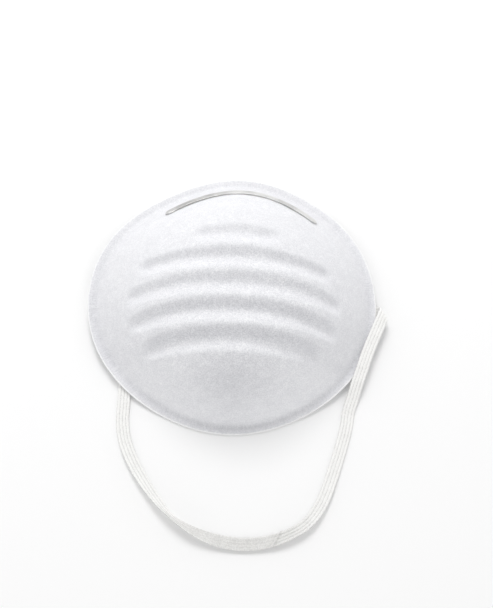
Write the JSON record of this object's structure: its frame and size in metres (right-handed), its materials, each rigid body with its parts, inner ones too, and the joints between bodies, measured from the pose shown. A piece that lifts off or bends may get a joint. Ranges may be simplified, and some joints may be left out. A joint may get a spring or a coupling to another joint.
{
  "type": "disposable dust mask",
  "caption": "Moulded ribbed cup mask in bonded non-woven layers, with an aluminium nose clip and a flat elastic headband.",
  "frame": {"origin": "on the table under the middle of the mask's outline, at the level of the rest face at nose and chin", "axes": "+X across the face to the wearer's left cheek, +Y up towards the nose, +Z out of the face through the top of the cup"},
  "size_m": [0.1458, 0.1825, 0.0469],
  "materials": {
    "outer_nonwoven": "matte pressed non-woven",
    "filter_nonwoven": "soft melt-blown web",
    "inner_nonwoven": "matte moulded non-woven",
    "clip_aluminium": "satin rolled strip",
    "hot_melt": "translucent glue",
    "elastic": "braided elastic"
  },
  "bodies": {
    "mask": {"outer_cover": "outer_nonwoven", "filter_web": "filter_nonwoven", "inner_shell": "inner_nonwoven", "nose_clip": "clip_aluminium", "nose_clip_glue": "hot_melt", "headband_end_left": "elastic", "headband_end_right": "elastic", "headband_glue_left": "hot_melt", "headband_glue_right": "hot_melt"},
    "headband": {"headband_loop": "elastic"}
  },
  "joints": [
    {"name": "headband_swing", "type": "hinge", "parent": "mask", "child": "headband", "pos_m": [0, -0.052, 0.0006], "axis": [1, 0, 0], "range_deg": [-120, 95]}
  ]
}
